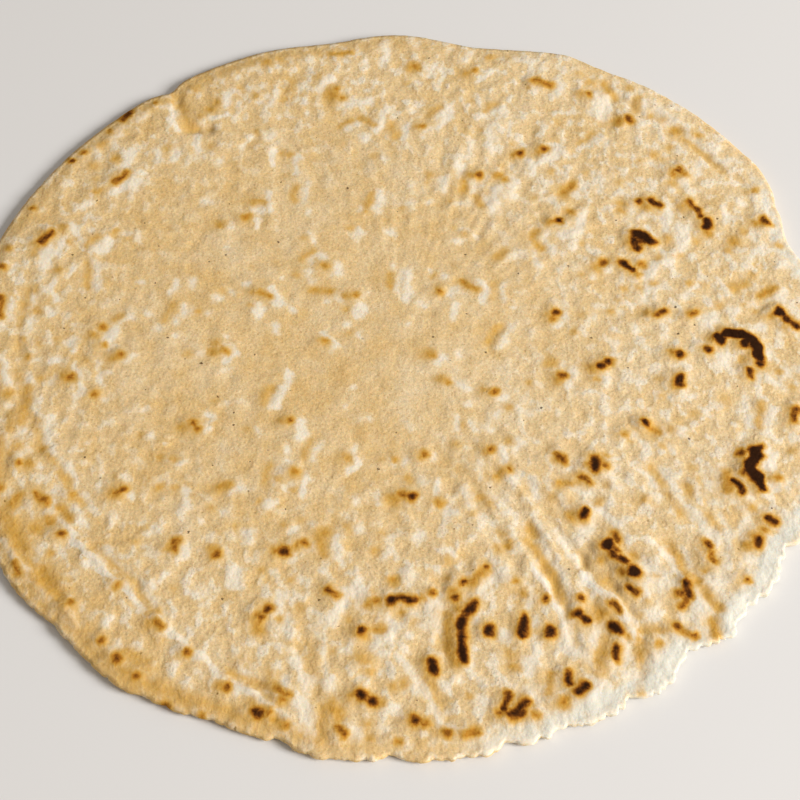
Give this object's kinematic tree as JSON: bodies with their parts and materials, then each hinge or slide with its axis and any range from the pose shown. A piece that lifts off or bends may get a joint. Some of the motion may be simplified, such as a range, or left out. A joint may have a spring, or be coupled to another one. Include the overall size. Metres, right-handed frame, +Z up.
{
  "type": "corn tortilla",
  "caption": "Round flat corn tortilla with toasted and charred spots, low blisters, press rings, soft folds and a thin ragged rim.",
  "frame": {"origin": "on the surface it lies on, under the middle of the round's bounding box", "axes": "+Z up out of the toasted upper face, +X to the side with the charred arch, -Y towards the long folds"},
  "size_m": [0.1604, 0.16, 0.0028],
  "materials": {
    "toasted_masa": "matte pale corn dough with golden toast and dark char on its blisters"
  },
  "bodies": {
    "root": {"tortilla": "toasted_masa"}
  },
  "joints": []
}
